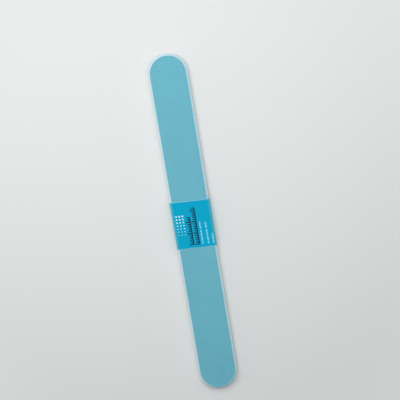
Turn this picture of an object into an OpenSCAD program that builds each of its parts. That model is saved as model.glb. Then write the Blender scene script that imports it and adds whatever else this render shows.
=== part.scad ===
// Double-sided cushioned nail file with a printed label loop round its middle.
// Millimetres, +Z up, +Y along the board. The origin is under the middle of the label,
// on the surface that the file lies on.

/* [Board] */
// Length of the board, tip to tip over its foam rim
board_length = 178; // [90:1:240]
// Width of the board across its foam rim; the ends are half circles of this width
board_width = 20.2; // [14:0.2:32]
// How far the edge of each abrasive face stands back from the foam rim
face_inset = 0.85; // [0.4:0.05:1.1]

/* [Layers] */
// Thickness of the stiff plate in the middle
core_thickness = 0.8; // [0.4:0.1:2]
// Thickness of each coat of glue
glue_thickness = 0.1; // [0.05:0.01:0.2]
// Thickness of the foam pad on each side
foam_thickness = 1.1; // [1:0.1:3]
// Thickness of the polyester film under the grit
film_thickness = 0.15; // [0.08:0.01:0.3]
// Thickness of the coat of grit
grit_thickness = 0.1; // [0.05:0.01:0.3]

/* [Label] */
// Width of the label band, measured along the board
label_width = 25; // [8:1:80]
// Thickness of the label's film
label_thickness = 0.12; // [0.08:0.01:0.3]
// Running clearance between the label's loop and the board, on every side
label_clearance = 0.1; // [0.05:0.01:0.3]
// Slant of the band across the board, in degrees
label_skew = 2.6; // [-6:0.1:6]
// Length of the lap where the strip's two ends are glued, on the underside
lap_length = 8; // [3:0.5:9]
// Length of the step by which the outer end climbs over the inner one
lap_step = 1; // [0.4:0.1:2]
// Thickness of the glue in the lap
lap_glue_thickness = 0.05; // [0.02:0.01:0.1]
// How far the lap's glue stays back from the film's edges
lap_glue_margin = 0.6; // [0.2:0.1:1.2]

/* [Hidden] */

$fn = 96;

// How far the trimming slab reaches past what it trims
overrun = 1;

// Sizes of the board's outline and of its abrasive faces
rim_half_width = board_width / 2;
face_length = board_length - 2 * face_inset;
face_width = board_width - 2 * face_inset;
straight_length = board_length - board_width;

// Heights of the layers' lower sides above the middle of the core plate
core_half = core_thickness / 2;
foam_base = core_half + glue_thickness;
film_glue_base = foam_base + foam_thickness;
film_base = film_glue_base + glue_thickness;
grit_base = film_base + film_thickness;
board_half_height = grit_base + grit_thickness;

// The foam's edge swells in one arc from the face's edge out to the rim, upright at its foot
bulge_radius = (foam_thickness * foam_thickness + face_inset * face_inset) / (2 * face_inset);
bulge_centre = rim_half_width - bulge_radius;

// The label's loop clears the board by the same distance on its flats, sides and corners
loop_half_width = rim_half_width + label_clearance;
loop_half_height = board_half_height + label_clearance;
loop_corner = face_inset + label_clearance;

// The lap hangs under the loop: glue first, then the strip's outer end
lap_half = lap_length / 2;
lap_glue_depth = loop_half_height + label_thickness;
lap_flap_depth = lap_glue_depth + lap_glue_thickness;
lap_depth = lap_flap_depth + label_thickness;
lap_step_end = lap_half + lap_step;

// The loop is drawn long enough that the slanted trim reaches all of it
loop_span = board_width + 2 * (label_clearance + label_thickness);
loop_draw_length = label_width / cos(label_skew) + loop_span;

// Everything is drawn about the core plate's middle, which lies this far above the ground
middle_height = lap_depth;

// Colours, as the photograph shows them
grit_colour = [0.43, 0.72, 0.79];
film_colour = [0.62, 0.84, 0.89];
foam_colour = [0.88, 0.95, 0.96];
core_colour = [0.93, 0.94, 0.93];
glue_colour = [0.86, 0.84, 0.74];
label_colour = [0.02, 0.63, 0.78];

// A flat outline with half-round ends, its length along Y
module round_ended(length, width) {
    reach = (length - width) / 2;
    square([width, 2 * reach], center = true);
    for (end = [-1, 1])
        translate([0, end * reach])
            circle(d = width);
}

// One flat layer of the board, lying on the given height
module layer(length, width, base, thickness) {
    translate([0, 0, middle_height + base])
        linear_extrude(height = thickness)
            round_ended(length, width);
}

// Turns what is drawn for the upper side over to the lower side, about the core plate's middle
module on_side(side) {
    if (side > 0)
        children();
    else
        translate([0, 0, 2 * middle_height])
            mirror([0, 0, 1])
                children();
}

// Half of the foam pad's cross-section: X outwards from the middle line, Y upwards
module foam_half_section() {
    square([bulge_centre, foam_thickness]);
    intersection() {
        translate([bulge_centre, 0])
            circle(r = bulge_radius);
        square([rim_half_width, foam_thickness]);
    }
}

// The pad: straight sides between two half-turned ends, all with the same swelling edge
module foam_pad() {
    translate([0, 0, middle_height + foam_base]) {
        rotate([90, 0, 0])
            linear_extrude(height = straight_length, center = true) {
                foam_half_section();
                mirror([1, 0])
                    foam_half_section();
            }
        for (end = [-1, 1])
            translate([0, end * straight_length / 2, 0])
                rotate([0, 0, end > 0 ? 0 : 180])
                    rotate_extrude(angle = 180)
                        foam_half_section();
    }
}

// A rectangle with round corners, drawn about the origin
module rounded_rectangle(half_width, half_height, corner) {
    square([2 * half_width, 2 * (half_height - corner)], center = true);
    square([2 * (half_width - corner), 2 * half_height], center = true);
    for (x = [-1, 1], y = [-1, 1])
        translate([x * (half_width - corner), y * (half_height - corner)])
            circle(r = corner);
}

// The label's strip seen from its end: a closed turn round the board whose outer end
// steps down over the inner end and runs on under it
module label_section() {
    difference() {
        rounded_rectangle(
            loop_half_width + label_thickness,
            loop_half_height + label_thickness,
            loop_corner + label_thickness
        );
        rounded_rectangle(loop_half_width, loop_half_height, loop_corner);
        translate([lap_half, -lap_depth])
            square([lap_step, lap_depth]);
    }
    polygon([
        [-lap_half, -lap_flap_depth],
        [-lap_half, -lap_depth],
        [lap_half, -lap_depth],
        [lap_step_end, -lap_glue_depth],
        [lap_step_end, -loop_half_height],
        [lap_half, -lap_flap_depth]
    ]);
}

// A slab of the given length along the board, turned to the label's slant
module slanted_slab(length) {
    rotate([0, 0, -label_skew])
        cube([2 * loop_span, length, 2 * (lap_depth + overrun)], center = true);
}

module core_plate() {
    color(core_colour)
        layer(board_length, board_width, -core_half, core_thickness);
}

module core_adhesive(side) {
    color(glue_colour)
        on_side(side)
            layer(board_length, board_width, core_half, glue_thickness);
}

module foam(side) {
    color(foam_colour)
        on_side(side)
            foam_pad();
}

module film_adhesive(side) {
    color(glue_colour)
        on_side(side)
            layer(face_length, face_width, film_glue_base, glue_thickness);
}

module backing_film(side) {
    color(film_colour)
        on_side(side)
            layer(face_length, face_width, film_base, film_thickness);
}

module grit_coat(side) {
    color(grit_colour)
        on_side(side)
            layer(face_length, face_width, grit_base, grit_thickness);
}

module label_film() {
    color(label_colour)
        translate([0, 0, middle_height])
            intersection() {
                rotate([90, 0, 0])
                    linear_extrude(height = loop_draw_length, center = true)
                        label_section();
                slanted_slab(label_width);
            }
}

module label_seam_adhesive() {
    color(glue_colour)
        translate([0, 0, middle_height])
            intersection() {
                translate([
                    lap_glue_margin - lap_half,
                    -loop_draw_length / 2,
                    -lap_flap_depth
                ])
                    cube([lap_length - 2 * lap_glue_margin, loop_draw_length, lap_glue_thickness]);
                slanted_slab(label_width - 2 * lap_glue_margin);
            }
}

core_plate();
core_adhesive(1);  // upper_core_adhesive
core_adhesive(-1);  // lower_core_adhesive
foam(1);  // upper_foam_pad
foam(-1);  // lower_foam_pad
film_adhesive(1);  // upper_film_adhesive
film_adhesive(-1);  // lower_film_adhesive
backing_film(1);  // upper_backing_film
backing_film(-1);  // lower_backing_film
grit_coat(1);  // upper_grit_coat
grit_coat(-1);  // lower_grit_coat
label_film();
label_seam_adhesive();
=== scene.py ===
# %% [markdown]
# A cushioned nail file, dressed for the camera
#
# The real thing is a sandwich. A thin stiff plate runs down the middle, a foam pad lies on each
# side of it, and on each pad lies a polyester film with a coat of fine blue grit. A die cuts the
# whole stack at once, which pinches the foam into a round, pale rim that stands out past the
# films. A printed loop of cyan film is wrapped round the middle.
#
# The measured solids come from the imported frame, in metres, and nothing here moves them. This
# script gives every solid its finish, and makes anew what a plain solid can't show: the cut edge
# of the foam, the grains that stand out of the grit, and the thin film of the label.

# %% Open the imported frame
import math

import bpy
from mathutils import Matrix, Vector


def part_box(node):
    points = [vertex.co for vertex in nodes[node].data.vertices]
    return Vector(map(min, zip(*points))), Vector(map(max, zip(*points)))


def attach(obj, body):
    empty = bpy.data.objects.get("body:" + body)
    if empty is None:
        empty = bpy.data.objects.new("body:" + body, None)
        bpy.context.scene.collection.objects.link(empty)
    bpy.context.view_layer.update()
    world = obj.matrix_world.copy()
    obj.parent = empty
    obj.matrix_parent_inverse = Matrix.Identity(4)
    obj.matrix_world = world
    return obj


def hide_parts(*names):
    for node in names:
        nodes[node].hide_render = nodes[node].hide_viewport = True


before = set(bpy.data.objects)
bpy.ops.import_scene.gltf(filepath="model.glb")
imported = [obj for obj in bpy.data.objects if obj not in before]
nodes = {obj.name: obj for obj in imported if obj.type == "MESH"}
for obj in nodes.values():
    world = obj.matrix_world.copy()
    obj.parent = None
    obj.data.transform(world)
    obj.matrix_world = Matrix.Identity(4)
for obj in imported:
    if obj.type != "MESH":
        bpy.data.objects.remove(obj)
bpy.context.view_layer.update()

MM = 0.001

# %% [markdown]
# Reading the board's sizes
#
# A piece that is made here has to meet the solids that carry it, so its sizes are read from the
# boxes round those solids. Only what no box tells, such as the label's slant, is written down as a
# value of its own.

# %% Read the board from its solids
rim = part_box("core_plate")
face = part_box("upper_grit_coat")
rim_half_width = rim[1].x
spine_half_length = rim[1].y - rim_half_width
face_inset = rim[1].x - face[1].x
face_half_width = rim_half_width - face_inset
board_middle = (rim[0].z + rim[1].z) / 2
board_half_height = face[1].z - board_middle
print("rim width %.2f mm, face set in by %.2f mm" % (2 * rim_half_width / MM, face_inset / MM))
print("board %.2f mm thick" % (2 * board_half_height / MM))

# %% [markdown]
# The camera
#
# The file lies flat and is seen almost straight from above. A long lens keeps its two ends nearly
# the same size. The camera leans a little towards the far end, and is rolled so that the board's
# far end leans to the left in the picture.

# %% Set up the camera
LENS_MM = 135
CAMERA_DISTANCE = 774.6 * MM
CAMERA_TILT = math.radians(10)
CAMERA_ROLL = math.radians(9.35)
CAMERA_AIM = Vector((5.42, 11.66, 2)) * MM


def add_object(name, data):
    """An object in the scene, which holds a camera, a lamp, a curve or a mesh."""
    item = bpy.data.objects.new(name, data)
    bpy.context.scene.collection.objects.link(item)
    return item


def add_camera():
    """A camera above the board, leaning towards the far end by the tilt."""
    camera = add_object("camera", bpy.data.cameras.new("camera"))
    lean = Vector((math.sin(CAMERA_ROLL), math.cos(CAMERA_ROLL), 0)) * math.sin(CAMERA_TILT)
    camera.location = CAMERA_AIM + CAMERA_DISTANCE * (lean + Vector((0, 0, math.cos(CAMERA_TILT))))
    camera.rotation_euler = (-CAMERA_TILT, 0, -CAMERA_ROLL)
    camera.data.lens = LENS_MM
    return camera


bpy.context.scene.camera = add_camera()
bpy.context.scene.view_settings.view_transform = "Standard"
print("camera height in mm:", round(bpy.context.scene.camera.location.z / MM))

# %% [markdown]
# Helpers for node trees
#
# Materials and Geometry Nodes are both trees of nodes. A wire is what comes out of one output of a
# node, and it can go into other nodes. One helper adds a node and fills its inputs with values or
# wires. Another starts a node group with named sockets, so that one effect can serve several
# finishes, and the last puts such a group to use.

# %% Add nodes and groups
SOCKET_KINDS = {
    "geometry": "NodeSocketGeometry", "number": "NodeSocketFloat", "count": "NodeSocketInt",
    "vector": "NodeSocketVector", "colour": "NodeSocketColor", "material": "NodeSocketMaterial"}


class Wire:
    """What comes out of one output of a node."""

    def __init__(self, socket):
        self.socket = socket
        self.tree = socket.id_data
        self.is_vector = socket.type in ("VECTOR", "RGBA")

    def into(self, socket):
        """Take the wire into another node's input."""
        self.tree.links.new(self.socket, socket)


class Outputs:
    """A node's outputs, each of which goes by its name or number."""

    def __init__(self, node):
        self.sockets = node.outputs

    def __getitem__(self, socket):
        return Wire(self.sockets[socket])


def add_node(tree, kind, inputs=None, **options):
    """Add a node and return its outputs. An input takes a value, a wire or a list of wires."""
    node = tree.nodes.new(kind)
    for option, value in options.items():
        setattr(node, option, value)
    for name, value in (inputs or {}).items():
        socket = node.inputs[name]
        if isinstance(value, (Wire, list)):
            for wire in value if isinstance(value, list) else [value]:
                wire.into(socket)
        else:
            socket.default_value = (*value, 1.0) if socket.type == "RGBA" else value
    return Outputs(node)


def start_group(name, gives, kind="ShaderNodeTree", **takes):
    """Start a tree, given its sockets by kind. Returns it, what it is given and its result."""
    tree = bpy.data.node_groups.new(name, kind)
    for side, sockets in (("INPUT", takes), ("OUTPUT", gives)):
        for plain_kind, names in sockets.items():
            for socket in names:
                tree.interface.new_socket(socket, in_out=side, socket_type=SOCKET_KINDS[plain_kind])
    return tree, Outputs(tree.nodes.new("NodeGroupInput")), tree.nodes.new("NodeGroupOutput").inputs


def own_node(tree, kind):
    """The node of a kind that a new material's or sky's tree starts out with."""
    return next(node for node in tree.nodes if node.type == kind)


def use_group(tree, group, inputs):
    """Put a shader group into a material, and return its outputs."""
    return add_node(tree, "ShaderNodeGroup", inputs, node_tree=group)


print("kinds of socket:", ", ".join(SOCKET_KINDS))

# %% [markdown]
# Sums with wires
#
# Most of a tree is plain arithmetic. So wires take the signs of sums, and the trees further on
# read like formulas: a plus adds an Add node, and its outcome is a wire again. The node is a
# Vector Math node for a wire that carries a vector or a colour, and a Math node for one that
# carries a number.

# %% Let wires take sums
SIGNS = {
    "__add__": "ADD", "__sub__": "SUBTRACT", "__mul__": "MULTIPLY", "__truediv__": "DIVIDE",
    "__mod__": "FLOORED_MODULO", "__pow__": "POWER", "__abs__": "ABSOLUTE",
    "__lt__": "LESS_THAN", "__gt__": "GREATER_THAN"}
GIVES_NUMBER = ("LENGTH", "DOT_PRODUCT")


def compute(operation, *values, **options):
    """The wire out of a Math or Vector Math node. At least one of the values is a wire."""
    wire = next(value for value in values if isinstance(value, Wire))
    kind = "ShaderNodeVectorMath" if wire.is_vector else "ShaderNodeMath"
    outcome = add_node(wire.tree, kind, dict(enumerate(values)), operation=operation, **options)
    return outcome["Value"] if operation in GIVES_NUMBER else outcome[0]


for sign, operation in SIGNS.items():
    setattr(Wire, sign, lambda *values, operation=operation: compute(operation, *values))


def larger(one, other):
    """The larger one of two numbers."""
    return compute("MAXIMUM", one, other)


def per_metre(size):
    """How many of a size there are to a metre."""
    return compute("DIVIDE", 1.0, size)


def scaled(vector, factor):
    """A vector or a colour times a number."""
    inputs = {0: vector, "Scale": factor}
    return add_node(vector.tree, "ShaderNodeVectorMath", inputs, operation="SCALE")[0]


def parts_of(vector):
    """The three numbers in a vector."""
    return add_node(vector.tree, "ShaderNodeSeparateXYZ", {0: vector})


def vector_of(*numbers):
    """A vector made of up to three numbers, of which the first is a wire."""
    return add_node(numbers[0].tree, "ShaderNodeCombineXYZ", dict(enumerate(numbers)))[0]


print("sums that have a sign:", ", ".join(SIGNS.values()).lower())

# %% [markdown]
# Patterns and mixtures
#
# A ramp turns one range of numbers into another, at an even pace or with soft ends. A noise makes
# soft patches: its scale is how many of them there are to a metre, and its detail is how many
# finer layers lie in them. A mixture lays one colour over another.

# %% Add ramps, noise and mixtures
ROUGH, SOFT, SMOOTH = 3.0, 2.0, 1.0


def ramp(value, low, high, start=0.0, end=1.0, smooth=True):
    """A number that goes from start to end while a value goes from low to high."""
    inputs = {"Value": value, "From Min": low, "From Max": high, "To Min": start, "To Max": end}
    pace = "SMOOTHSTEP" if smooth else "LINEAR"
    return add_node(value.tree, "ShaderNodeMapRange", inputs, interpolation_type=pace)[0]


def noise(place, scale, detail):
    """Soft patches from 0 to 1."""
    inputs = {"Vector": place, "Scale": scale, "Detail": detail}
    return add_node(place.tree, "ShaderNodeTexNoise", inputs)[0]


def mixed(share, below, above):
    """One colour over another, by its share from 0 to 1."""
    inputs = {0: share, 6: below, 7: above}
    return add_node(share.tree, "ShaderNodeMix", inputs, data_type="RGBA")[2]


print("finer layers in a rough, a soft and a smooth noise:", ROUGH, SOFT, SMOOTH)

# %% [markdown]
# Shared effect: fine grain
#
# Grit, cut foam and a cut plastic edge are all covered with bumps of one rough size. Packed cells
# are how close grains or foam cells look, and a noise of about the same size roughens each of
# them. Crystals are angular, so each cell can also lean its own way, as one flat facet: that is
# the tilt, which is 0 for foam. The group gives a height for a Bump node and a shade that differs
# from cell to cell.

# %% Build the fine grain group
NO_LEAN = (0.5, 0.5, 0.5)


def build_fine_grain():
    """A shader group: packed cells of a given size, as a height and a shade from 0 to 1."""
    tree, given, result = start_group(
        "fine_grain", {"number": ["Height", "Shade"]},
        vector=["Vector"], number=["Grain Size", "Roughness", "Tilt"])
    place, scale = given["Vector"], per_metre(given["Grain Size"])
    cells = add_node(tree, "ShaderNodeTexVoronoi", {"Vector": place, "Scale": scale})
    rubble = add_node(tree, "ShaderNodeTexNoise", {
        "Vector": place, "Scale": scale, "Detail": ROUGH, "Roughness": given["Roughness"]})[0]
    dome = compute("SUBTRACT", 1.0, cells["Distance"], use_clamp=True)
    rise = compute("DOT_PRODUCT", place - cells["Position"], cells["Color"] - NO_LEAN)
    height = compute("MULTIPLY_ADD", rise * scale, given["Tilt"], dome * rubble)
    height.into(result["Height"])
    add_node(tree, "ShaderNodeSeparateColor", {0: cells["Color"]})[0].into(result["Shade"])
    return tree


fine_grain = build_fine_grain()
print("group:", fine_grain.name)

# %% [markdown]
# Shared effect: uneven tone
#
# No coating, foam or film is one flat colour. This group makes a colour a little lighter and
# darker in soft patches, and again by a second mask, such as the shade of each grain.

# %% Build the uneven tone group
NEUTRAL = 0.5


def build_uneven_tone():
    """A shader group: a colour made lighter and darker in soft patches and by a mask."""
    tree, given, result = start_group(
        "uneven_tone", {"colour": ["Color"]}, colour=["Color"], vector=["Vector"],
        number=["Patch Size", "Patch Strength", "Mask", "Mask Strength"])
    patches = noise(given["Vector"], per_metre(given["Patch Size"]), SOFT)
    by_patch = (patches - NEUTRAL) * given["Patch Strength"]
    by_mask = (given["Mask"] - NEUTRAL) * given["Mask Strength"]
    scaled(given["Color"], by_patch + 1.0 + by_mask).into(result["Color"])
    return tree


uneven_tone = build_uneven_tone()
print("group:", uneven_tone.name)

# %% [markdown]
# Shared effect: the crushed line along the cut
#
# The die crushes the grit along the outline, where the coat turns paler in an uneven line, a few
# tenths of a millimetre wide. The outline is a straight run with two half circles, so the distance
# from its middle line has a formula: only what lies past the end of that line counts lengthways. A
# noise of a given size makes the line wander. The group gives a mask that is 1 on the cut and 0
# inside.

# %% Build the crushed line group
def spine_distance(place, spine_half_length):
    """How far a place is from the line between the middles of the board's round ends."""
    spot = parts_of(place)
    lengthways = larger(abs(spot[1]) - spine_half_length, 0.0)
    return compute("LENGTH", vector_of(spot[0], lengthways))


def build_crushed_line():
    """A shader group: a mask that is 1 on a round-ended outline along Y, and fades inwards."""
    tree, given, result = start_group(
        "crushed_line", {"number": ["Mask"]}, vector=["Vector"],
        number=["Half Width", "Spine Half Length", "Line Width", "Wander Size"])
    inside = given["Half Width"] - spine_distance(given["Vector"], given["Spine Half Length"])
    wander = noise(given["Vector"], per_metre(given["Wander Size"]), ROUGH)
    reach = wander * (given["Line Width"] * 2.0)
    ramp(inside, 0.0, reach, 1.0, 0.0).into(result["Mask"])
    return tree


crushed_line = build_crushed_line()
print("group:", crushed_line.name)

# %% [markdown]
# Starting a finish
#
# Every finish is a Principled BSDF. What is the same all over goes straight on its sockets. The
# colour comes through the uneven tone group, and fine relief through the fine grain group and a
# Bump node. Patterns read Object coordinates, which are metres here, so a grain size is a real
# length. A plain finish needs nothing more, so it has a helper of its own.

# %% Starters for finishes
def start_finish(name, **sockets):
    """A material with a Principled BSDF. Returns the material, its tree and the shader."""
    material = bpy.data.materials.new(name)
    material.use_nodes = True
    shader = own_node(material.node_tree, "BSDF_PRINCIPLED")
    for socket, value in sockets.items():
        shader.inputs[socket.replace("_", " ")].default_value = value
    return material, material.node_tree, shader


def object_place(tree):
    """Where on the piece a point is, in metres."""
    return add_node(tree, "ShaderNodeTexCoord")["Object"]


def add_grain(shader, size, depth, roughness=0.6, tilt=0.0, place=None):
    """Bumps of a size and depth on the surface. Returns each grain's shade."""
    place = place or object_place(shader.id_data)
    grain = use_group(place.tree, fine_grain, {
        "Vector": place, "Grain Size": size, "Roughness": roughness, "Tilt": tilt})
    bump = add_node(place.tree, "ShaderNodeBump", {"Height": grain["Height"], "Distance": depth})
    bump[0].into(shader.inputs["Normal"])
    return grain["Shade"]


def add_tone(shader, colour, patch, strength, mask=NEUTRAL, mask_strength=0.0, place=None):
    """The uneven tone of a colour, or of a wire with a colour, into the shader's Base Color."""
    place = place or object_place(shader.id_data)
    tone = use_group(place.tree, uneven_tone, {
        "Color": colour, "Vector": place, "Patch Size": patch, "Patch Strength": strength,
        "Mask": mask, "Mask Strength": mask_strength})
    tone["Color"].into(shader.inputs["Base Color"])


def plain_finish(name, colour, grain, depth, patch, strength, **sockets):
    """A finish of one uneven colour with fine bumps."""
    material, tree, shader = start_finish(name, **sockets)
    add_grain(shader, grain, depth)
    add_tone(shader, colour, patch, strength)
    return material


print("finish starters ready")

# %% [markdown]
# The grit's finish
#
# Fine abrasive on film is a matte coat of tiny crystals in tinted resin. From a step away it is an
# even dusty blue. Close up, each crystal is a little lighter or darker than the next. The coat is
# drawn on along the film, which leaves streaks that are almost too faint to see, and it is paler
# where the die crushed it. The same blue, a little lighter and glossier, goes on the larger
# crystals that stand out of it.

# %% Make the grit finishes
GRIT_BLUE = (0.163, 0.520, 0.638)
CRUSHED_BLUE = (0.370, 0.670, 0.760)
CRYSTAL_BLUE = (0.225, 0.585, 0.695)
GRAIN_SIZE = 0.09 * MM
GRAIN_BUMP = 0.03 * MM
GRAIN_TILT = 3.0
GRAIN_SWING, CRYSTAL_SWING = 0.40, 0.7
COAT_PATCH = 14 * MM
COAT_SWING = 0.10
CRUSHED_WIDTH = 0.22 * MM
CRUSHED_WANDER = 0.5 * MM
STREAK_WIDTH = 0.7 * MM
STREAK_STRETCH = 60
STREAK_STRENGTH = 0.05


def add_streaks(place, colour):
    """A colour made lighter and darker in faint streaks along Y."""
    streaks = noise(place * (1, 1 / STREAK_STRETCH, 1), 1 / STREAK_WIDTH, SOFT)
    tone = compute("MULTIPLY_ADD", streaks, STREAK_STRENGTH, 1 - STREAK_STRENGTH / 2)
    return scaled(colour, tone)


def make_blue_grit():
    """The matte blue coat on both faces, with the pale line where the die cut through it."""
    material, tree, shader = start_finish("blue_grit", Roughness=0.82, Specular_IOR_Level=0.3)
    place = object_place(tree)
    crushed = use_group(tree, crushed_line, {
        "Vector": place, "Half Width": face_half_width, "Spine Half Length": spine_half_length,
        "Line Width": CRUSHED_WIDTH, "Wander Size": CRUSHED_WANDER})["Mask"]
    colour = add_streaks(place, mixed(crushed, GRIT_BLUE, CRUSHED_BLUE))
    shade = add_grain(shader, GRAIN_SIZE, GRAIN_BUMP, roughness=0.7, tilt=GRAIN_TILT)
    add_tone(shader, colour, COAT_PATCH, COAT_SWING, shade, GRAIN_SWING)
    return material


def make_crystal():
    """The larger crystals that stand out of the coat."""
    material, tree, shader = start_finish("grit_crystal", Roughness=0.35, Specular_IOR_Level=0.5)
    add_grain(shader, GRAIN_SIZE, GRAIN_BUMP / 3)
    own_shade = add_node(tree, "ShaderNodeAttribute", attribute_name="own_shade")["Fac"]
    add_tone(shader, CRYSTAL_BLUE, COAT_PATCH, COAT_SWING, own_shade, CRYSTAL_SWING)
    return material


blue_grit, grit_crystal = make_blue_grit(), make_crystal()
print("finishes:", blue_grit.name, grit_crystal.name)

# %% [markdown]
# The finishes of the stack's edges
#
# Under the grit lies a smooth polyester film, which shows only as a fine pale-blue line. The glue
# coats are thinner still and slightly yellow. The core plate is white plastic, and its edge has
# the upright score marks that a die leaves, so its grain is stretched upwards.

# %% Make the film, glue and plate finishes
FILM_BLUE = (0.36, 0.66, 0.74)
GLUE_CREAM = (0.70, 0.72, 0.64)
PLATE_WHITE = (0.80, 0.82, 0.81)
SCORE_WIDTH = 0.12 * MM
SCORE_DEPTH = 0.02 * MM
SCORE_STRETCH = 12


def make_plate():
    """White plastic with the die's upright score marks on its edge."""
    material, tree, shader = start_finish("plate_plastic", Roughness=0.5)
    upright = object_place(tree) * (1, 1, 1 / SCORE_STRETCH)
    shade = add_grain(shader, SCORE_WIDTH, SCORE_DEPTH, place=upright)
    add_tone(shader, PLATE_WHITE, 8 * MM, 0.06, shade, mask_strength=0.08)
    return material


polyester_edge = plain_finish(
    "polyester_edge", FILM_BLUE, grain=0.3 * MM, depth=0.004 * MM, patch=6 * MM, strength=0.12,
    Roughness=0.35, Coat_Weight=0.2)
dried_glue = plain_finish(
    "dried_glue", GLUE_CREAM, grain=0.4 * MM, depth=0.02 * MM, patch=3 * MM, strength=0.25,
    Roughness=0.5)
plate_plastic = make_plate()
print("finishes:", polyester_edge.name, dried_glue.name, plate_plastic.name)

# %% [markdown]
# Dressing the flat layers
#
# The flat layers already have their true shape, so they only get their finishes. The two foam pads
# and the label are left for later, because they are made anew.

# %% Put the finishes on the flat layers
LAYER_FINISHES = {
    "core_plate": plate_plastic,
    "core_adhesive": dried_glue,
    "film_adhesive": dried_glue,
    "backing_film": polyester_edge,
    "grit_coat": blue_grit,
    "label_seam_adhesive": dried_glue,
}

for layer, finish in LAYER_FINISHES.items():
    for node in nodes:
        if node.endswith(layer):
            for place in nodes[node].material_slots:
                place.material = finish
            print(node, "gets", finish.name)

# %% [markdown]
# Steps in a tree that makes geometry
#
# Geometry Nodes make what repeats on this file or follows a rule. Most of their nodes take the
# geometry in and hand it on changed. Each tree ends by making its instances real and giving them a
# material. Values can be noted on each point or face under a name, for the tree or a finish to
# read.

# %% Change geometry
def change(geometry, kind, inputs=None, **options):
    """Add a node that takes the geometry in first and hands it on changed."""
    inputs = {0: geometry, **(inputs or {})}
    return add_node(geometry.tree, "GeometryNode" + kind, inputs, **options)[0]


def noted(geometry, name, value, kind, domain="POINT"):
    """The geometry with a value noted on each of its points or faces, under a name."""
    inputs = {"Name": name, "Value": value}
    return change(geometry, "StoreNamedAttribute", inputs, data_type=kind, domain=domain)


def read_note(tree, name, kind):
    """The value that is noted under a name."""
    return add_node(tree, "GeometryNodeInputNamedAttribute", {"Name": name}, data_type=kind)[0]


def only(geometry, selection, domain):
    """The part of a geometry where a selection holds."""
    return change(geometry, "SeparateGeometry", {"Selection": selection}, domain=domain)


def dressed(geometry, material):
    """The geometry with its instances made real and its material on it."""
    return change(change(geometry, "RealizeInstances"), "SetMaterial", {"Material": material})


print("geometry steps ready")

# %% [markdown]
# From a node tree to a plain mesh
#
# A tree runs on a small source object through a modifier, and its result is copied out as a plain
# mesh, so that the finished piece holds no modifier and stays where it was made. A modifier's
# inputs go by each socket's identifier, which is looked up from its name. The source's empty
# material slot is taken out, so that the piece holds only the tree's finishes.

# %% Run a tree and hand over the piece
SHARP_ANGLE = math.radians(40)


def run_tree(name, tree, source, inputs):
    """Run a tree on a source mesh or curve, and return its result as a plain mesh object."""
    worker = add_object(name + "_source", source)
    modifier = worker.modifiers.new("tree", "NODES")
    modifier.node_group = tree
    sockets = tree.interface.items_tree
    named = {item.name: item.identifier for item in sockets if item.in_out == "INPUT"}
    for socket, value in inputs.items():
        modifier[named[socket]] = value
    depsgraph = bpy.context.evaluated_depsgraph_get()
    mesh = bpy.data.meshes.new_from_object(
        worker.evaluated_get(depsgraph), preserve_all_data_layers=True, depsgraph=depsgraph)
    bpy.data.objects.remove(worker)
    for index in reversed(range(len(mesh.materials))):
        if mesh.materials[index] is None:
            mesh.materials.pop(index=index)
    mesh.set_sharp_from_angle(angle=SHARP_ANGLE)
    mesh.name = name
    return add_object(name, mesh)


def hand_over(piece, body, slot, *replaced):
    """Attach a piece to the body that it rides on, and hide the solids that it stands for.
    The slot is not used.
    """
    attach(piece, body)
    if replaced:
        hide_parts(*replaced)
    heights = [corner[2] / MM for corner in piece.bound_box]
    print("%s: %d faces, z from %.3f to %.3f mm" % (
        piece.name, len(piece.data.polygons), min(heights), max(heights)))


print("edges sharper than %d degrees stay sharp" % round(math.degrees(SHARP_ANGLE)))

# %% [markdown]
# The foam pads
#
# The pads are soft foam, pinched by the die. Their edge swells in one arc from under the film out
# to the rim, and the cut opens tiny cells all along it. The blank is modelled first: every ring of
# points runs round the board at its own inset and height, and the flats close on the board's
# middle line. The rings are spaced finer than the cells that will be pressed into them.

# %% Model a smooth foam blank
RIM_STEP = 0.2 * MM
BULGE_STEPS = 10


def outline_places():
    """Points round the board, each as its place on the middle line and its direction outwards."""
    round_steps = round(math.pi * rim_half_width / RIM_STEP)
    side_steps = round(2 * spine_half_length / RIM_STEP)
    places = []
    for end in (1, -1):
        spine_end = Vector((0, end * spine_half_length, 0))
        for step in range(round_steps):
            turn = math.pi * step / round_steps + (0 if end > 0 else math.pi)
            places.append((spine_end, Vector((math.cos(turn), math.sin(turn), 0))))
        for step in range(side_steps):
            along = spine_half_length * (1 - 2 * step / side_steps) * end
            places.append((Vector((0, along, 0)), Vector((-end, 0, 0))))
    return places


def bulge_profile(low, high):
    """Insets and heights from the foot of the edge up to the film's edge, along one arc."""
    rise = high - low
    radius = (rise ** 2 + face_inset ** 2) / (2 * face_inset)
    turn = math.asin(rise / radius)
    steps = [turn * step / BULGE_STEPS for step in range(BULGE_STEPS + 1)]
    return [(radius * (1 - math.cos(angle)), low + radius * math.sin(angle)) for angle in steps]


def model_foam_blank(low, high):
    """A closed pad with its foot at the height low. The pad's arc is upright at its foot."""
    places, profile = outline_places(), bulge_profile(low, high)
    count, points, faces = len(places), [], []
    for inset, height in [(rim_half_width, low), *profile, (rim_half_width, high)]:
        for spine, outwards in places:
            points.append(spine + (rim_half_width - inset) * outwards + Vector((0, 0, height)))
    for ring in range(len(profile) + 1):
        for step in range(count):
            one, two = ring * count + step, ring * count + (step + 1) % count
            faces.append((one, two, two + count, one + count))
    mesh = bpy.data.meshes.new("foam_blank")
    mesh.from_pydata(points, [], faces)
    edge = mesh.attributes.new("cut_edge", "FLOAT", "POINT")
    for index in range(2 * count, len(profile) * count):
        edge.data[index].value = 1.0
    return mesh


pad_low, pad_high = (corner.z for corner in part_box("upper_foam_pad"))
foam_blank = model_foam_blank(pad_low, pad_high)
print("foam blank:", len(foam_blank.vertices), "points")

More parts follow.
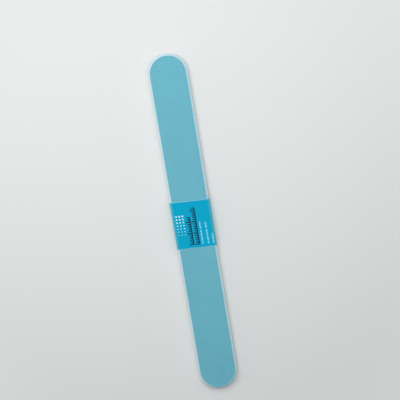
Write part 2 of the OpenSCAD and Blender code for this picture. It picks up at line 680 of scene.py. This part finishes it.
# %% [markdown]
# Opening the foam's cells
#
# A Geometry Nodes tree presses the cells in. It reads the same kind of packed cells as the grain
# group, and moves the points in the middle of each cell inwards, only on the cut edge. The size
# and depth of the cells are inputs, so a coarser foam is one number away. Points that fell on one
# place, on the middle line, are merged to close the skin.

# %% Build the tree that opens the cells
WELD = 0.001 * MM
CELL_FLOOR, CELL_WALL = 0.15, 0.6


def build_open_cells():
    """Geometry Nodes: dents of a given size and depth along the cut edge of a foam blank."""
    tree, given, result = start_group(
        "open_cells", {"geometry": ["Geometry"]}, "GeometryNodeTree", geometry=["Geometry"],
        number=["Cell Size", "Cell Depth"], vector=["Shift"], material=["Material"])
    skin = change(given["Geometry"], "MergeByDistance", {"Distance": WELD})
    place = add_node(tree, "GeometryNodeInputPosition")[0] + given["Shift"]
    cells = add_node(tree, "ShaderNodeTexVoronoi", {
        "Vector": place, "Scale": per_metre(given["Cell Size"])})
    dent = ramp(cells["Distance"], CELL_FLOOR, CELL_WALL, 1.0, 0.0)
    depth = dent * read_note(tree, "cut_edge", "FLOAT") * given["Cell Depth"]
    inwards = scaled(add_node(tree, "GeometryNodeInputNormal")[0], depth * -1.0)
    dented = change(skin, "SetPosition", {"Offset": inwards})
    dressed(dented, given["Material"]).into(result["Geometry"])
    return tree


open_cells = build_open_cells()
print("tree:", open_cells.name)

# %% [markdown]
# The foam's finish
#
# The foam is a very pale blue, and a little light enters it and comes out near by, which softens
# the rim's shadow side. That is subsurface scattering, over a few tenths of a millimetre. The
# finest cells are only bump. The lower pad is the same blank turned over, with another stretch of
# the same cells, so that the two edges don't match.

# %% Finish both foam pads
FOAM_BLUE = (0.62, 0.795, 0.865)
FOAM_GRAIN, FOAM_BUMP = 0.11 * MM, 0.03 * MM
CELL_SIZE = 0.34 * MM
CELL_DEPTH = 0.05 * MM
OTHER_STRETCH = Vector((0, 37, 5)) * MM


def make_foam():
    """Pale closed-cell foam."""
    material, tree, shader = start_finish(
        "pale_foam", Roughness=0.85, Specular_IOR_Level=0.2,
        Subsurface_Weight=0.35, Subsurface_Radius=(1.0, 1.0, 1.0), Subsurface_Scale=0.4 * MM)
    shade = add_grain(shader, FOAM_GRAIN, FOAM_BUMP)
    add_tone(shader, FOAM_BLUE, 5 * MM, 0.06, shade, mask_strength=0.10)
    return material


pale_foam = make_foam()
for side, shift in (("upper", Vector()), ("lower", OTHER_STRETCH)):
    blank = foam_blank.copy()
    if side == "lower":
        for point in blank.vertices:
            point.co.z = 2 * board_middle - point.co.z
        blank.flip_normals()
    pad = run_tree(side + "_foam_cushion", open_cells, blank, {
        "Cell Size": CELL_SIZE, "Cell Depth": CELL_DEPTH, "Shift": shift, "Material": pale_foam})
    hand_over(pad, "board", "foam", side + "_foam_pad")

# %% [markdown]
# The crystals in the grit
#
# Abrasive grains are angular, and the largest stand proud of the resin. One tree scatters points
# over a face with an even spacing, but none on the very edge, where the die would have cut the
# crystal. On each point it sets a small pyramid, which leans, turns and shrinks at random from a
# fixed seed, and sinks so that only its tip shows. A pyramid with three sides has four faces, so
# tens of thousands stay light. Each one also keeps a random number, from which the finish takes
# its shade. The first helper finds the points, and the second turns the crystals.

# %% Build the tree that scatters crystals
FACING_SHARE = 0.9
PYRAMID_SIDES = 3


def add_crystal_points(tree, given):
    """Points over the faces that look along Facing, each with a random shade of its own."""
    spacing, seed = given["Spacing"], given["Seed"]
    facing = compute("DOT_PRODUCT", add_node(tree, "GeometryNodeInputNormal")[0], given["Facing"])
    face = only(given["Geometry"], facing > FACING_SHARE, "FACE")
    crowding = compute("DIVIDE", 2.0, spacing ** 2.0)
    inputs = {"Distance Min": spacing, "Density Max": crowding, "Seed": seed}
    points = change(face, "DistributePointsOnFaces", inputs, distribute_method="POISSON")
    place = add_node(tree, "GeometryNodeInputPosition")[0]
    away = spine_distance(place, given["Spine Half Length"])
    kept = only(points, away < given["Half Width"], "POINT")
    shade = add_node(tree, "FunctionNodeRandomValue", {"Seed": seed}, data_type="FLOAT")[1]
    return noted(kept, "own_shade", shade, "FLOAT")


def add_crystal_turn(tree, given):
    """A random turn and lean for each crystal, which starts out upright along Facing."""
    lean, back = given["Lean"], given["Lean"] * -1.0
    turn = add_node(tree, "FunctionNodeRandomValue", {
        0: vector_of(back, back), 1: vector_of(lean, lean, math.tau), "Seed": given["Seed"]},
        data_type="FLOAT_VECTOR")[0]
    facing = {"Vector": given["Facing"]}
    upright = add_node(tree, "FunctionNodeAlignRotationToVector", facing, axis="Z")
    inputs = {"Rotation": upright[0], "Rotate By": turn}
    return add_node(tree, "FunctionNodeRotateRotation", inputs, rotation_space="LOCAL")[0]


def build_scatter():
    """Geometry Nodes: sunken pyramids, evenly spaced over the faces that look along Facing."""
    tree, given, result = start_group(
        "scatter_crystals", {"geometry": ["Geometry"]}, "GeometryNodeTree", geometry=["Geometry"],
        vector=["Facing"], count=["Seed"], material=["Material"],
        number=["Spacing", "Half Width", "Spine Half Length", "Radius", "Height", "Sink", "Lean",
                "Smallest"])
    down = scaled(given["Facing"], given["Sink"] * -1.0)
    sunk = change(add_crystal_points(tree, given), "SetPosition", {"Offset": down})
    pyramid = add_node(tree, "GeometryNodeMeshCone", {
        "Vertices": PYRAMID_SIDES, "Radius Top": 0.0, "Radius Bottom": given["Radius"],
        "Depth": given["Height"]})["Mesh"]
    shrink = add_node(tree, "FunctionNodeRandomValue", {
        2: given["Smallest"], 3: 1.0, "Seed": given["Seed"]}, data_type="FLOAT")[1]
    crystals = change(sunk, "InstanceOnPoints", {
        "Instance": pyramid, "Rotation": add_crystal_turn(tree, given), "Scale": shrink})
    dressed(crystals, given["Material"]).into(result["Geometry"])
    return tree


scatter_crystals = build_scatter()
print("tree:", scatter_crystals.name)

# %% [markdown]
# Scattering the crystals
#
# The tree runs once for each face, on a copy of its grit coat, with another seed, so that the two
# faces differ. The crystals stand out less than the gap under the label, which has to slide over
# them.

# %% Scatter the crystals over both faces
CRYSTAL_SIZES = {
    "Spacing": 0.20 * MM,
    "Radius": 0.16 * MM,
    "Height": 0.09 * MM,
    "Sink": 0.058 * MM,
    "Lean": 0.5,
    "Smallest": 0.75,
}
CRYSTAL_MARGIN = 0.12 * MM

for side, up, seed in (("upper", 1.0, 11), ("lower", -1.0, 23)):
    coat = nodes[side + "_grit_coat"].data.copy()
    crystals = run_tree(side + "_grit_crystals", scatter_crystals, coat, {
        "Facing": (0.0, 0.0, up), "Half Width": face_half_width - CRYSTAL_MARGIN, "Seed": seed,
        "Spine Half Length": spine_half_length, "Material": grit_crystal, **CRYSTAL_SIZES})
    hand_over(crystals, "board", "grit")

# %% [markdown]
# The label's path
#
# The label is one strip of film, closed on itself: its outer end steps over its inner end on the
# underside, where glue holds the lap. So the strip follows an open path that turns once round the
# board and ends under its own start. The path is the inner surface of the film. It repeats the few
# sizes that the solid has: the gap to the board, the thickness of film and glue, and the lap.

# %% Draw the label's path
LABEL_WIDTH = 25 * MM
LABEL_SLANT = math.radians(2.6)
LABEL_GAP = 0.1 * MM
LAP_LENGTH = 8 * MM
LAP_STEP = 1 * MM
CORNER_STEPS = 12

glue_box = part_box("label_seam_adhesive")
label_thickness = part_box("label_film")[1].x - rim_half_width - LABEL_GAP
lap_glue = glue_box[1].z - glue_box[0].z


def label_path():
    """Points (x, z) along the film's inner surface, from its inner end to its outer one."""
    lap = LAP_LENGTH / 2
    half_width = rim_half_width + LABEL_GAP
    half_height = board_half_height + LABEL_GAP
    corner = face_inset + LABEL_GAP
    flap = half_height + label_thickness + lap_glue
    path = [(lap, -half_height)]
    for across, up, start in ((-1, -1, 270), (-1, 1, 180), (1, 1, 90), (1, -1, 0)):
        for step in range(CORNER_STEPS + 1):
            angle = math.radians(start - 90 * step / CORNER_STEPS)
            path.append((across * (half_width - corner) + corner * math.cos(angle),
                         up * (half_height - corner) + corner * math.sin(angle)))
    return path + [(lap + LAP_STEP, -half_height), (lap, -flap), (-lap, -flap)]


path = label_path()
lengths = [math.dist(one, two) for one, two in zip(path, path[1:])]
path_length = sum(lengths)
top_start = 2 * (CORNER_STEPS + 1)
top_middle = sum(lengths[:top_start]) + lengths[top_start] / 2

label_curve = bpy.data.curves.new("label_path", "CURVE")
label_curve.dimensions = "3D"
spline = label_curve.splines.new("POLY")
spline.points.add(len(path) - 1)
for point, (across, up) in zip(spline.points, path):
    point.co = (across, 0, board_middle + up, 1)
print("the strip is %.1f mm long and %.2f mm thick" % (path_length / MM, label_thickness / MM))

# %% [markdown]
# How the film sags
#
# Film is never quite flat: it has a faint ripple where it isn't glued, and a hair of sag between
# its edges. Both only take the film inwards, so it never leaves the space of its solid. The sag
# grows to its full depth above the underside, where the lap is.

# %% Work out the film's sag
RIPPLE_SIZE = 5 * MM
LOOSE_RISE = 1 * MM
EDGE_SHARPNESS = 16.0


def film_sag(given, strip, across, height):
    """How far the film moves off its path, as a number that is never above zero."""
    wave = (noise(strip, 1 / RIPPLE_SIZE, SMOOTH) - 1.0) * given["Ripple"]
    edge = abs(across) / (given["Width"] / 2.0)
    hollow = (edge ** EDGE_SHARPNESS - 1.0) * given["Sag"]
    full_height = given["Loose Above"] + LOOSE_RISE
    return (wave + hollow) * ramp(height, given["Loose Above"], full_height, smooth=False)


print("ripples in the film are %.0f mm long" % (RIPPLE_SIZE / MM))

# %% [markdown]
# Giving the film its thickness
#
# The wrapped film is still a sheet with no thickness. Extruding it outwards gives the outer side
# and the cut edges. The sheet itself, turned over, becomes the inner side, and merging the points
# where the two meet closes the skin. The cut edges and the inner side are marked as bare, because
# no ink lies on them.

# %% Thicken the film
def thickened(sheet, thickness):
    """A sheet made into a closed skin, with its unprinted faces noted as bare."""
    outer = add_node(sheet.tree, "GeometryNodeExtrudeMesh", {
        "Mesh": sheet, "Offset Scale": thickness, "Individual": False}, mode="FACES")
    sides = [noted(part, "bare", bare, "BOOLEAN", domain="FACE") for part, bare in (
        (change(sheet, "FlipFaces"), True), (outer["Mesh"], outer["Side"]))]
    both = add_node(sheet.tree, "GeometryNodeJoinGeometry", {0: sides})[0]
    return change(change(both, "MergeByDistance", {"Distance": WELD}), "SetShadeSmooth")


print("points closer than %.3f mm are merged" % (WELD / MM))

# %% [markdown]
# Wrapping the film
#
# A tree wraps a flat grid of film along the path. How far along the strip a point is gives its
# place on the curve, and how far across the strip it is gives its place along the board, leaning
# with the label's slant. The strip's own measure, in metres from the middle of the print, is noted
# on the points, so that the print follows the film round the board.

# %% Build the tree that wraps the film
FILM_GRID = {"Vertices X": 300, "Vertices Y": 43}
ALONG_BOARD = (0.0, 1.0, 0.0)


def build_wrap():
    """Geometry Nodes: a strip of film wrapped along the source curve, with its thickness."""
    tree, given, result = start_group(
        "wrap_film", {"geometry": ["Geometry"]}, "GeometryNodeTree", geometry=["Geometry"],
        number=["Length", "Width", "Thickness", "Print Start", "Slant", "Loose Above", "Ripple",
                "Sag"],
        material=["Film", "Bare Film"])
    flat = add_node(tree, "GeometryNodeMeshGrid", {
        "Size X": given["Length"], "Size Y": given["Width"], **FILM_GRID})[0]
    spot = parts_of(add_node(tree, "GeometryNodeInputPosition")[0])
    along, across = spot[0] + given["Length"] / 2.0, spot[1]
    strip = vector_of(along - given["Print Start"], across)
    on_path = add_node(tree, "GeometryNodeSampleCurve", {
        "Curves": given["Geometry"], "Length": along}, mode="LENGTH")
    track = parts_of(on_path["Position"])
    lean = track[0] * compute("TANGENT", given["Slant"])
    reach = across / compute("COSINE", given["Slant"])
    outwards = compute("CROSS_PRODUCT", on_path["Tangent"], ALONG_BOARD)
    placed = change(noted(flat, "strip", strip, "FLOAT_VECTOR"), "SetPosition", {
        "Position": vector_of(track[0], reach - lean, track[2]),
        "Offset": scaled(outwards, film_sag(given, strip, across, track[2]))})
    film = dressed(thickened(placed, given["Thickness"]), given["Film"])
    finished = change(film, "SetMaterial", {
        "Selection": read_note(tree, "bare", "BOOLEAN"), "Material": given["Bare Film"]})
    finished.into(result["Geometry"])
    return tree


wrap_film = build_wrap()
print("tree:", wrap_film.name)

# %% [markdown]
# The label's print: dots
#
# The label is bare of words. It carries plain marks instead: a block of white dots that shrink row
# by row, two dark graduated scales like those on a ruler, and three pale rules broken into dashes.
# Print has no thickness, so it belongs in the finish. Three small groups draw it, each as a mask
# that is 1 on the ink, and all of them measure along the strip. For the dots, the strip is cut
# into square cells, each with a dot in its middle.

# %% Build the group of dots
INK_BLUR = 0.03 * MM
CELL_MIDDLE = (0.5, 0.5, 0.0)
RIGHT_AND_DOWN = (1.0, -1.0, 0.0)


def soft_step(distance):
    """1 where a distance is below zero, 0 where it is above, with a narrow blur between."""
    return ramp(distance, -INK_BLUR, INK_BLUR, 1.0, 0.0, smooth=False)


def build_ink_dots():
    """A shader group: a block of dots, which shrink row by row from its upper left corner down."""
    tree, given, result = start_group(
        "ink_dots", {"number": ["Mask"]}, vector=["Vector", "Corner"],
        number=["Pitch", "Columns", "Rows", "Largest", "Smallest"])
    down = (given["Vector"] - given["Corner"]) * RIGHT_AND_DOWN
    cells = scaled(down, per_metre(given["Pitch"]))
    away = compute("LENGTH", compute("FRACTION", cells) - CELL_MIDDLE) * given["Pitch"]
    spot = parts_of(cells)
    row, last_row = compute("FLOOR", spot[1]), given["Rows"] - 1.0
    radius = ramp(row, 0.0, last_row, given["Largest"], given["Smallest"], smooth=False)
    dot = soft_step(away - radius)
    for place, limit in ((spot[0], given["Columns"]), (spot[1], given["Rows"])):
        dot = dot * (place > 0.0) * (place < limit)
    dot.into(result["Mask"])
    return tree


ink_dots = build_ink_dots()
print("group:", ink_dots.name)

# %% [markdown]
# The label's print: graduated scales
#
# A scale is a base line with ticks at even steps. The distance to the nearest step gives the
# ticks, and a tick whose number divides by five is a long one. The base line reaches a little
# past its first and last tick.

# %% Build the group of scales
LONG_EVERY = 5.0
OVERHANG_SHARE = 0.2


def build_ink_scale():
    """A shader group: a base line along Y with ticks, of which every fifth is a long one."""
    tree, given, result = start_group(
        "ink_scale", {"number": ["Mask"]}, vector=["Vector", "Start"],
        number=["Pitch", "Ticks", "Line", "Short", "Long"])
    spot = parts_of(given["Vector"] - given["Start"])
    depth, half_line = spot[0] * -1.0, given["Line"] / 2.0
    steps = spot[1] / given["Pitch"]
    nearest = compute("ROUND", steps)
    aside = abs(steps - nearest) * given["Pitch"]
    long_one = (nearest % LONG_EVERY) < 0.5
    reach = ramp(long_one, 0.0, 1.0, given["Short"], given["Long"], smooth=False)
    past_tip = larger(depth - reach, depth * -1.0)
    tick = soft_step(larger(aside - half_line, past_tip))
    base = soft_step(abs(depth) - half_line)
    last = given["Ticks"] - (1 - OVERHANG_SHARE)
    within = (steps > -OVERHANG_SHARE) * (steps < last)
    (larger(tick, base) * within).into(result["Mask"])
    return tree


ink_scale = build_ink_scale()
print("group:", ink_scale.name)

# %% [markdown]
# The label's print: broken rules
#
# A rule is a plain bar. To break it into dashes, its length is counted off in steps, and each
# step starts with a gap. A slow wave shifts the steps, so that the dashes come out uneven.

# %% Build the group of rules
WAVE_PACE = 1.7
WAVE_SHIFT = 0.35


def build_ink_rule():
    """A shader group: a rule that runs along Y, broken into dashes of uneven length."""
    tree, given, result = start_group(
        "ink_rule", {"number": ["Mask"]}, vector=["Vector", "Centre", "Half Size"],
        number=["Dash", "Gap"])
    over = parts_of(abs(given["Vector"] - given["Centre"]) - given["Half Size"])
    bar = soft_step(larger(over[0], over[1]))
    count = parts_of(given["Vector"])[1] / given["Dash"]
    wobble = compute("SINE", count * WAVE_PACE) * WAVE_SHIFT
    dash = compute("FRACT", count + wobble) > given["Gap"]
    (bar * dash).into(result["Mask"])
    return tree


ink_rule = build_ink_rule()
print("group:", ink_rule.name)

# %% [markdown]
# The label's cyan ground
#
# The cyan ground is painted lighter where the film rounds over the rim. This is a painted highlight
# for the light that the rolled film catches there, and the ground is full again over the grit of
# the underside. Along its long cuts a hair of the film stays bare, and a little more at the free
# end of the lap. Each ink is a list of masks joined by Maximum, and one Mix node lays the ink's
# colour over what is there.

# %% Lay the cyan ground
CYAN = (0.0012, 0.385, 0.605)
# the lighter cyan of the painted highlight over the rolled rim
RIM_HIGHLIGHT_CYAN = (0.045, 0.470, 0.600)
BARE_FILM = (0.34, 0.72, 0.82)
RIM_FADE = 0.7 * MM
BARE_MARGIN = 0.18 * MM
BARE_END = 0.6 * MM

rim_wrap = math.pi * (face_inset + LABEL_GAP) + 2 * (board_half_height - face_inset)


def lay_ink(below, masks, colour):
    """One ink over a colour, wherever any of its masks is 1."""
    ink = masks[0]
    for mask in masks[1:]:
        ink = larger(ink, mask)
    return mixed(ink, below, colour)


def lay_cyan(place):
    """The cyan ground, with a painted highlight over the rim and a bare margin along the cuts."""
    spot, away = parts_of(place), parts_of(abs(place))
    off_rim = abs(away[0] - (face_half_width + rim_wrap / 2))
    # painted highlight: the cyan turns lighter across the rounded rim, where the rolled film
    # catches light
    painted_rim_highlight = ramp(off_rim, (rim_wrap - RIM_FADE) / 2, (rim_wrap + RIM_FADE) / 2, 1.0, 0.0)
    margin = away[1] > LABEL_WIDTH / 2 - BARE_MARGIN
    free_end = spot[0] > path_length - top_middle - BARE_END
    return lay_ink(mixed(painted_rim_highlight, CYAN, RIM_HIGHLIGHT_CYAN), [margin, free_end], BARE_FILM)


print("it takes %.1f mm of the strip to go down over the rim" % (rim_wrap / MM))

# %% [markdown]
# The label's finish
#
# The other inks go on the ground in order: white dots, dark scales, pale rules. The white is thin
# as well, and lets some cyan through. Places are measured from the middle of the print, across the
# board and along it. The film is glossy where it is printed, and its cut edge and its inner side
# show the bare, milky film.

# %% Lay out the print
WHITE_INK = (0.58, 0.92, 0.97)
DARK_INK = (0.005, 0.040, 0.080)
PALE_INK = (0.24, 0.69, 0.88)
CUT_FILM = (0.55, 0.80, 0.87)


def at(across, along):
    """A place or size on the print, from millimetres."""
    return (across * MM, along * MM, 0)


DOT_BLOCK = {"Corner": at(-8.95, 5.7), "Pitch": 1.63 * MM, "Columns": 3, "Rows": 7,
             "Largest": 0.47 * MM, "Smallest": 0.20 * MM}
SCALE = {"Pitch": 1.2 * MM, "Line": 0.64 * MM, "Short": 1.6 * MM, "Long": 2.3 * MM}
SCALES = [{"Start": at(-1.4, -10.6), "Ticks": 13}, {"Start": at(1.6, -10.6), "Ticks": 17}]
RULE = {"Dash": 1.5 * MM, "Gap": 0.22}
RULES = [{"Centre": at(3.35, -4.85), "Half Size": at(0.35, 6.0)},
         {"Centre": at(6.3, -5.1), "Half Size": at(0.35, 5.8)},
         {"Centre": at(8.9, -8.2), "Half Size": at(0.35, 2.7)}]
INKS = [(ink_dots, DOT_BLOCK, [{}], WHITE_INK),
        (ink_scale, SCALE, SCALES, DARK_INK),
        (ink_rule, RULE, RULES, PALE_INK)]


def make_label():
    """Glossy printed film."""
    material, tree, shader = start_finish("printed_film", Roughness=0.25, Specular_IOR_Level=0.12)
    place = add_node(tree, "ShaderNodeAttribute", attribute_name="strip")["Vector"]
    colour = lay_cyan(place)
    for group, shared, marks, ink in INKS:
        placed = [{"Vector": place, **shared, **mark} for mark in marks]
        masks = [use_group(tree, group, inputs)["Mask"] for inputs in placed]
        colour = lay_ink(colour, masks, ink)
    shade = add_grain(shader, 0.5 * MM, 0.004 * MM, place=place)
    add_tone(shader, colour, 9 * MM, 0.08, shade, mask_strength=0.03, place=place)
    return material


printed_film = make_label()
bare_film = plain_finish(
    "bare_film", CUT_FILM, grain=0.2 * MM, depth=0.006 * MM, patch=4 * MM, strength=0.1,
    Roughness=0.4)
print("finishes:", printed_film.name, bare_film.name)

# %% [markdown]
# Wrapping the label round the board
#
# The tree runs on the label's path. Its result stands for the solid of the label and rides on the
# same body, so it slides along the board with it.

# %% Wrap the label round the board
FILM_RIPPLE = 0.03 * MM
FILM_SAG = 0.02 * MM

label = run_tree("label_wrap", wrap_film, label_curve, {
    "Length": path_length, "Width": LABEL_WIDTH, "Thickness": label_thickness,
    "Print Start": top_middle, "Slant": LABEL_SLANT,
    "Loose Above": board_middle - board_half_height, "Ripple": FILM_RIPPLE, "Sag": FILM_SAG,
    "Film": printed_film, "Bare Film": bare_film})
hand_over(label, "label_sleeve", "label_film", "label_film")

# %% [markdown]
# The floor
#
# The file lies on a plain pale floor. The lamps hang low and leave the far floor dark. So for the
# camera and in reflections, the floor fades into an even pale tone away from the file, which adds
# no light. Near the file it stays as it is, and keeps the shadow.

# %% Lay the floor
FLOOR_HALF_SIZE = 3.0
FLOOR_WHITE = (0.80, 0.81, 0.80)
BACKDROP_WHITE = (0.79, 0.80, 0.80)
FADE_START, FADE_END = 0.10, 0.24


def seen_directly(tree):
    """1 for what the camera sees, straight or by a reflection or through something, 0 for light."""
    ray = add_node(tree, "ShaderNodeLightPath")
    return larger(larger(ray["Is Camera Ray"], ray["Is Glossy Ray"]), ray["Is Transmission Ray"])


def make_floor_finish():
    """A plain matte floor, which fades into the backdrop's tone away from the file."""
    material, tree, shader = start_finish("pale_floor", Roughness=0.9, Specular_IOR_Level=0.1)
    add_tone(shader, FLOOR_WHITE, 400 * MM, 0.02)
    away = ramp(compute("LENGTH", object_place(tree)), FADE_START, FADE_END)
    glow = add_node(tree, "ShaderNodeEmission", {"Color": BACKDROP_WHITE})[0]
    seen = add_node(tree, "ShaderNodeMixShader", {
        0: away * seen_directly(tree), 1: Wire(shader.outputs[0]), 2: glow})[0]
    seen.into(own_node(tree, "OUTPUT_MATERIAL").inputs["Surface"])
    return material


def add_floor():
    """A flat square under the file."""
    side = FLOOR_HALF_SIZE
    corners = [(-side, -side, 0), (side, -side, 0), (side, side, 0), (-side, side, 0)]
    mesh = bpy.data.meshes.new("floor")
    mesh.from_pydata(corners, [], [(0, 1, 2, 3)])
    mesh.materials.append(make_floor_finish())
    floor = add_object("floor", mesh)


add_floor()
print("the floor fades out between %.2f and %.2f m from the file's middle" % (FADE_START, FADE_END))

# %% [markdown]
# Light and air
#
# There are four soft lamps. Two hang over the file's far half, so that this half is a little
# brighter. The main one is to the left, and its shadow falls to the right. The second one, to the
# right, is weaker, and leaves a fainter shadow on the left. A third, in front, keeps the near end
# from sinking into its own shadow. The fourth stands low and far to the left, where it reaches the
# upright rim more than the flat face. The sky gives only a dim light from all round, and looks as
# pale as the backdrop.

# %% Set the lamps and the sky
LAMP_SIZE = 0.35
LAMPS = {
    "main_lamp": (Vector((-0.085, 0.20, 0.355)), 1.16),
    "second_lamp": (Vector((0.18, 0.13, 0.32)), 0.45),
    "front_lamp": (Vector((0.0, -0.40, 0.45)), 0.44),
    "side_lamp": (Vector((-0.45, 0.06, 0.18)), 0.37),
}
SKY_LOW, SKY_HIGH = (0.23, 0.24, 0.25), (0.08, 0.09, 0.10)
LOW_HEIGHT, HIGH_HEIGHT = 0.1, 0.7


def add_lamp(name, place, watts):
    """A soft lamp aimed at the file."""
    light = bpy.data.lights.new(name, "AREA")
    light.shape = "SQUARE"
    light.size = LAMP_SIZE
    light.energy = watts
    lamp = add_object(name, light)
    lamp.location = place
    lamp.rotation_euler = (-place).to_track_quat("-Z", "Y").to_euler()


def add_sky():
    """Soft light from all round, stronger near the horizon, and an even backdrop to look at."""
    world = bpy.data.worlds.new("sky")
    world.use_nodes = True
    tree = world.node_tree
    up = parts_of(add_node(tree, "ShaderNodeTexCoord")["Generated"])[2]
    light = mixed(ramp(up, LOW_HEIGHT, HIGH_HEIGHT, smooth=False), SKY_LOW, SKY_HIGH)
    colour = mixed(seen_directly(tree), light, BACKDROP_WHITE)
    colour.into(own_node(tree, "BACKGROUND").inputs["Color"])
    bpy.context.scene.world = world


for lamp, (place, watts) in LAMPS.items():
    add_lamp(lamp, place, watts)
add_sky()
print("lamps:", ", ".join(LAMPS))
